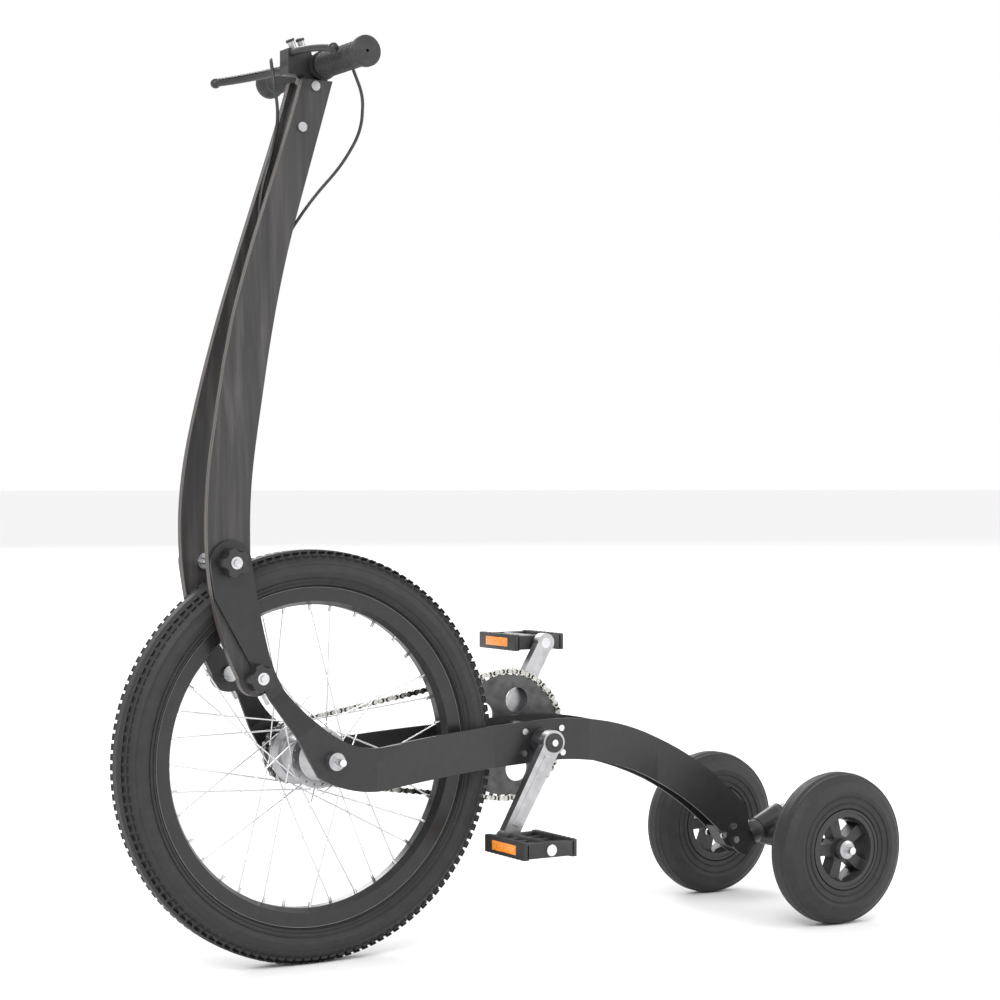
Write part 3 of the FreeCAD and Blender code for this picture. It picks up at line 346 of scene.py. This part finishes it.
mesh_object("front_bead_line", bead_line, "rim_line", "front_wheel")


def nipples(shape):
    for i in range(SPOKE_COUNT):
        side = -1 if i % 2 else 1
        angle = FULL_TURN * i / SPOKE_COUNT
        centre = around(HUB, 0.1855, angle, side * 0.0042)
        add_cylinder(shape, centre, (math.cos(angle), 0, math.sin(angle)), 0.0021, 0.008, 8)


mesh_object("spoke_nipples", nipples, "steel", "front_wheel")


def hub_details(shape):
    """Raised lips on the hub flanges and the spoke heads in them."""
    for side in (-1, 1):
        add_turned(shape, HUB, [(0.0345, side * 0.0303), (0.0345, side * 0.0312), (0.038, side * 0.0312),
                                (0.0383, side * 0.0272), (0.0378, side * 0.0272),
                                (0.0378, side * 0.0303)], 64)
        for i in range(SPOKE_COUNT // 2):
            angle = FULL_TURN * i / (SPOKE_COUNT // 2)
            add_cylinder(shape, around(HUB, 0.034, angle, side * 0.0318), (0, 1, 0), 0.0019, 0.0016, 8)
    for y in (-0.012, 0.0, 0.012):
        add_turned(shape, HUB, [(0.0299, y - 0.001), (0.0305, y - 0.0006),
                                (0.0305, y + 0.0006), (0.0299, y + 0.001)], 64)


mesh_object("hub_details", hub_details, "silver", "front_wheel")


# ---------------------------------------------------------------- drive

TOOTH_SIZE = (0.0068, 0.0022, 0.005)


def teeth(shape, centre, pitch_radius, count):
    for i in range(count):
        angle = FULL_TURN * (i + 0.5) / count
        turn = Matrix.Rotation(-angle, 4, "Y")
        add_box(shape, around(centre, pitch_radius - 0.0025, angle, CHAIN_LINE), TOOTH_SIZE, turn)


mesh_object("chainring_teeth", lambda s: teeth(s, CRANK, RING_RADIUS, RING_TEETH),
            "ring_grey", "cranks")
mesh_object("sprocket_teeth", lambda s: teeth(s, HUB, SPROCKET_RADIUS, SPROCKET_TEETH),
            "steel", "front_wheel")


def chain_path(count):
    """Evenly spaced places round the chain's pitch line."""
    reach = CRANK.x - HUB.x
    rise = math.atan2(CRANK.z - HUB.z, reach)
    length = math.hypot(reach, CRANK.z - HUB.z)
    lean = math.asin((RING_RADIUS - SPROCKET_RADIUS) / length)
    top, low = rise + math.pi / 2 + lean, rise - math.pi / 2 - lean
    run = math.sqrt(length ** 2 - (RING_RADIUS - SPROCKET_RADIUS) ** 2)
    big_arc = RING_RADIUS * (top - low)
    small_arc = SPROCKET_RADIUS * (FULL_TURN - (top - low))
    total = big_arc + small_arc + 2 * run
    places = []
    for i in range(count):
        s = total * i / count
        if s < big_arc:
            angle = low + s / RING_RADIUS
            places.append(around(CRANK, RING_RADIUS, angle, CHAIN_LINE))
        elif s < big_arc + run:
            start = around(CRANK, RING_RADIUS, top, CHAIN_LINE)
            end = around(HUB, SPROCKET_RADIUS, top, CHAIN_LINE)
            places.append(start.lerp(end, (s - big_arc) / run))
        elif s < big_arc + run + small_arc:
            angle = top + (s - big_arc - run) / SPROCKET_RADIUS
            places.append(around(HUB, SPROCKET_RADIUS, angle, CHAIN_LINE))
        else:
            start = around(HUB, SPROCKET_RADIUS, low, CHAIN_LINE)
            end = around(CRANK, RING_RADIUS, low, CHAIN_LINE)
            places.append(start.lerp(end, (s - big_arc - run - small_arc) / run))
    return places


CHAIN_LINKS = 100


def chain_plates(shape):
    places = chain_path(CHAIN_LINKS)
    pitch = (places[1] - places[0]).length
    for i, here in enumerate(places):
        there = places[(i + 1) % CHAIN_LINKS]
        middle = (here + there) / 2
        angle = math.atan2(there.z - here.z, there.x - here.x)
        turn = Matrix.Rotation(-angle, 4, "Y")
        offset = 0.0031 if i % 2 else 0.0022
        for side in (-1, 1):
            centre = middle + Vector((0, side * offset, 0))
            add_box(shape, centre, (pitch * 0.98, 0.0009, 0.0052), turn)
            for end in (here, there):
                add_cylinder(shape, end + Vector((0, side * offset, 0)), (0, 1, 0), 0.0041, 0.0009, 12)


def chain_rollers(shape):
    for here in chain_path(CHAIN_LINKS):
        add_cylinder(shape, here, (0, 1, 0), 0.0036, 0.0038, 10)
        add_cylinder(shape, here, (0, 1, 0), 0.0017, 0.0074, 8)


links = mesh_object("chain_links", chain_plates, "chain_silver", "frame", smooth=False)
mesh_object("chain_rollers", chain_rollers, "chain_silver", "frame")
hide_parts("chain")


def crank_ribs(shape):
    """Raised rib along each arm."""
    for side, toward in ((-1, -1), (1, 1)):
        y = side * 0.0702
        start = CRANK + Vector((0, y, 0))
        end = CRANK + Vector((toward * CRANK_DX, y, toward * CRANK_DZ))
        middle = start.lerp(end, 0.5)
        turn = Matrix.Rotation(-math.atan2(end.z - start.z, end.x - start.x), 4, "Y")
        add_box(shape, middle, (0.1, 0.0016, 0.009), turn)


mesh_object("crank_ribs", crank_ribs, "silver", "cranks", smooth=False, bevel=0.0006)


def crank_caps(shape):
    for side in (-1, 1):
        add_cylinder(shape, CRANK + Vector((0, side * 0.0705, 0)), (0, 1, 0), 0.0125, 0.003, 40)


def crank_cap_bolts(shape):
    for side in (-1, 1):
        add_cylinder(shape, CRANK + Vector((0, side * 0.0722, 0)), (0, 1, 0), 0.0045, 0.002, 20)


mesh_object("crank_caps", crank_caps, "black_plastic", "cranks")
mesh_object("crank_cap_bolts", crank_cap_bolts, "steel", "cranks")


# ---------------------------------------------------------------- pedals

def pedal_pieces(word):
    """Cage, tread studs, reflectors and end cap of one pedal, in place of its CAD block."""
    centre = PEDALS[word]
    node = "pedal_" + word

    def cage(shape):
        half_x, half_y, half_z = 0.039, 0.0475, 0.011
        for x in (-1, 1):
            add_box(shape, centre + Vector((x * (half_x - 0.004), 0, 0)), (0.008, 2 * half_y, 2 * half_z))
        for y in (-1, 1):
            end = centre + Vector((0, y * (half_y - 0.004), 0))
            add_box(shape, end, (2 * half_x - 0.008, 0.008, 2 * half_z - 0.003))
        add_cylinder(shape, centre, (0, 1, 0), 0.0095, 2 * half_y - 0.006, 32)
        for y in (-0.022, 0.0, 0.022):
            add_box(shape, centre + Vector((0, y, 0)), (2 * half_x - 0.01, 0.006, 0.014))

    def treads(shape):
        for x in (-1, 1):
            for i in range(9):
                y = -0.04 + i * 0.01
                for z in (-1, 1):
                    add_box(shape, centre + Vector((x * 0.035, y, z * 0.0105)), (0.007, 0.0045, 0.0012))

    def reflectors(shape):
        for x in (-1, 1):
            add_box(shape, centre + Vector((x * 0.0388, 0.0, 0)), (0.0024, 0.056, 0.012))

    def cap(shape):
        side = -1 if word == "left" else 1
        add_cylinder(shape, centre + Vector((0, side * 0.0478, 0)), (0, 1, 0), 0.0072, 0.005, 24)

    pedal_body = mesh_object(node + "_body", cage, "black_plastic", node, bevel=0.0012)
    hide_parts(node)
    mesh_object(node + "_treads", treads, "black_plastic", node, smooth=False)
    mesh_object(node + "_reflectors", reflectors, "reflector", node, bevel=0.0005)
    mesh_object(node + "_cap", cap, "steel", node)


pedal_pieces("left")
pedal_pieces("right")


# ---------------------------------------------------------------- plates and mast fasteners

BRACKET_BOLTS = ((-0.025, 0.013), (0.031, 0.015), (-0.026, -0.015), (0.033, -0.017))
TAIL_BOLTS = ((-0.078, 0.019), (-0.073, 0.0), (-0.095, 0.008))


def plate_bolts(shape):
    for side in (-1, 1):
        for dx, dz in BRACKET_BOLTS:
            centre = CRANK + Vector((dx, side * (PLATE_FACE_CRANK + 0.001), dz))
            add_cylinder(shape, centre, (0, 1, 0), 0.0042, 0.0022, 20)
        for dx, dz in TAIL_BOLTS:
            centre = REAR + Vector((dx, side * (PLATE_FACE_TAIL + 0.0008), dz))
            add_cylinder(shape, centre, (0, 1, 0), 0.0048, 0.0026, 20)


mesh_object("plate_bolts", plate_bolts, "steel", "frame")


def knob_washers(shape):
    for place in (FOLD, CLAMP):
        for side in (-1, 1):
            add_turned(shape, place + Vector((0, side * 0.0645, 0)), [
                (0.0042, -0.0006), (0.0075, -0.0006), (0.0075, 0.0006), (0.0042, 0.0006)], 32)


mesh_object("knob_washers", knob_washers, "steel", "frame")


def fold_washers(shape):
    for side in (-1, 1):
        add_turned(shape, FOLD + Vector((0, side * 0.0312, 0)), [
            (0.0042, -0.0028), (0.0098, -0.0028), (0.0098, 0.0028), (0.0042, 0.0028)], 40)


mesh_object("fold_washers", fold_washers, "steel", "mast")


def tongues(shape):
    """Bright guide tongues that show in the slots under the clamp knobs."""
    for side in (-1, 1):
        centre = CLAMP + Vector((0.011, side * 0.0455, -0.0265))
        turn = Matrix.Rotation(math.radians(-28), 4, "Y")
        add_box(shape, centre, (0.0045, 0.004, 0.015), turn)


mesh_object("clamp_tongues", tongues, "silver", "frame", bevel=0.0006)


# ---------------------------------------------------------------- handlebar details

def grip_ribs(shape):
    for side in (-1, 1):
        for i in range(22):
            y = side * (0.028 + i * 0.0038)
            add_turned(shape, BAR, [(0.0152, y - 0.0011), (0.0161, y - 0.0006),
                                    (0.0161, y + 0.0006), (0.0152, y + 0.0011)], 48)


mesh_object("grip_ribs", grip_ribs, "grip_rubber", "mast")


def post_heads(shape):
    for point, axis in (((-0.0358, 0, 0.0306), (-0.44, 0, 0.9)), ((-0.0222, 0, 0.0326), (-0.33, 0, 0.94))):
        add_cylinder(shape, BAR + Vector(point), Vector(axis).normalized(), 0.0056, 0.003, 24)


mesh_object("post_heads", post_heads, "black_plastic", "mast")


HIGHLIGHT_BLOCKS = 24


def lever_painted_highlight(shape):
    """Painted highlight: bright silver blocks along the right lever's upper side, standing in for the light's
    sheen on the black lever.
    """
    for i in range(HIGHLIGHT_BLOCKS):
        a = i / HIGHLIGHT_BLOCKS
        ahead = -0.038 - 0.012 * a * 1.9 - 0.015 * a * a
        point = BAR + Vector((ahead, 0.012 + 0.118 * a, 0.0005 - 0.002 * a))
        add_box(shape, point, (0.0035, 0.0058, 0.0016))


# Painted highlight on the right lever, drawn as a strip of bright silver blocks.
mesh_object("lever_painted_highlight", lever_painted_highlight, "silver", "mast", smooth=False)


# ---------------------------------------------------------------- rear wheels

def rear_details(word, side, body):
    centre = REAR + Vector((0, side * TRACK_HALF, 0))

    def ribs(shape):
        for y in (-0.012, -0.006, 0.0, 0.006, 0.012):
            drop = 0.0004 + 0.0018 * (y / 0.012) ** 2
            radius = 0.1025 - drop
            add_turned(shape, centre, [(radius - 0.002, y - 0.0022), (radius, y - 0.0016),
                                       (radius, y + 0.0016), (radius - 0.002, y + 0.0022)], 96)
        for flank in (-1, 1):
            for radius, y in ((0.062, 0.0236), (0.071, 0.0248)):
                add_turned(shape, centre, [(radius - 0.0009, flank * y), (radius, flank * (y + 0.0009)),
                                           (radius + 0.0009, flank * y)], 96)

    def cap(shape):
        out = side * 0.0255
        add_turned(shape, centre, [
            (0.0002, out), (0.009, out), (0.0125, side * 0.0235),
            (0.0135, side * 0.0165), (0.0002, side * 0.0165)], 48)

    def rim_lip(shape):
        for flank in (-1, 1):
            add_turned(shape, centre, [(0.0505, flank * 0.0198), (0.0505, flank * 0.0212),
                                       (0.0538, flank * 0.0212), (0.0538, flank * 0.0198)], 96)

    mesh_object(f"rear_ribs_{word}", ribs, "tyre", body)
    mesh_object(f"rear_cap_{word}", cap, "silver", body)
    mesh_object(f"rear_rim_lip_{word}", rim_lip, "black_plastic", body)


rear_details("left", -1, "rear_wheel_left")
rear_details("right", 1, "rear_wheel_right")

# ---------------------------------------------------------------- stage, light, camera

FLOOR_HALF = 400
floor_mesh = bpy.data.meshes.new("floor")
floor_shape = bmesh.new()
bmesh.ops.create_grid(floor_shape, x_segments=1, y_segments=1, size=FLOOR_HALF)
floor_shape.to_mesh(floor_mesh)
floor_shape.free()
floor = bpy.data.objects.new("floor", floor_mesh)
bpy.context.collection.objects.link(floor)
paper = bpy.data.materials.new("paper")
paper.use_nodes = True
paper.node_tree.nodes["Principled BSDF"].inputs["Base Color"].default_value = (0.9, 0.9, 0.9, 1)
paper.node_tree.nodes["Principled BSDF"].inputs["Roughness"].default_value = 0.9
floor_mesh.materials.append(paper)

world = bpy.data.worlds.new("studio")
bpy.context.scene.world = world
world.use_nodes = True
world.node_tree.nodes["Background"].inputs["Color"].default_value = (1, 1, 1, 1)
world.node_tree.nodes["Background"].inputs["Strength"].default_value = 1.0


def area_light(name, place, target, size, power):
    lamp = bpy.data.lights.new(name, "AREA")
    lamp.size = size
    lamp.energy = power
    item = bpy.data.objects.new(name, lamp)
    item.location = place
    item.rotation_euler = (Vector(target) - Vector(place)).to_track_quat("-Z", "Y").to_euler()
    bpy.context.collection.objects.link(item)


area_light("key", (-2.6, -2.4, 3.2), (0, 0, 0.5), 2.2, 120)
area_light("fill", (2.8, -2.6, 1.8), (0, 0, 0.4), 2.4, 45)
area_light("rim", (2.5, 14.0, 10.0), (0, 0, 0.6), 9.0, 1500)

lens = bpy.data.cameras.new("camera")
lens.sensor_width = 36
lens.lens = 82.9
camera = bpy.data.objects.new("camera", lens)
camera.location = (-1.5718, -2.575, 0.591)
turn, tilt = math.radians(31.30), math.radians(-0.31)
look = Vector((math.sin(turn) * math.cos(tilt), math.cos(turn) * math.cos(tilt), math.sin(tilt)))
camera.rotation_euler = look.to_track_quat("-Z", "Y").to_euler()
bpy.context.collection.objects.link(camera)
bpy.context.scene.camera = camera
bpy.context.scene.view_settings.view_transform = "Standard"
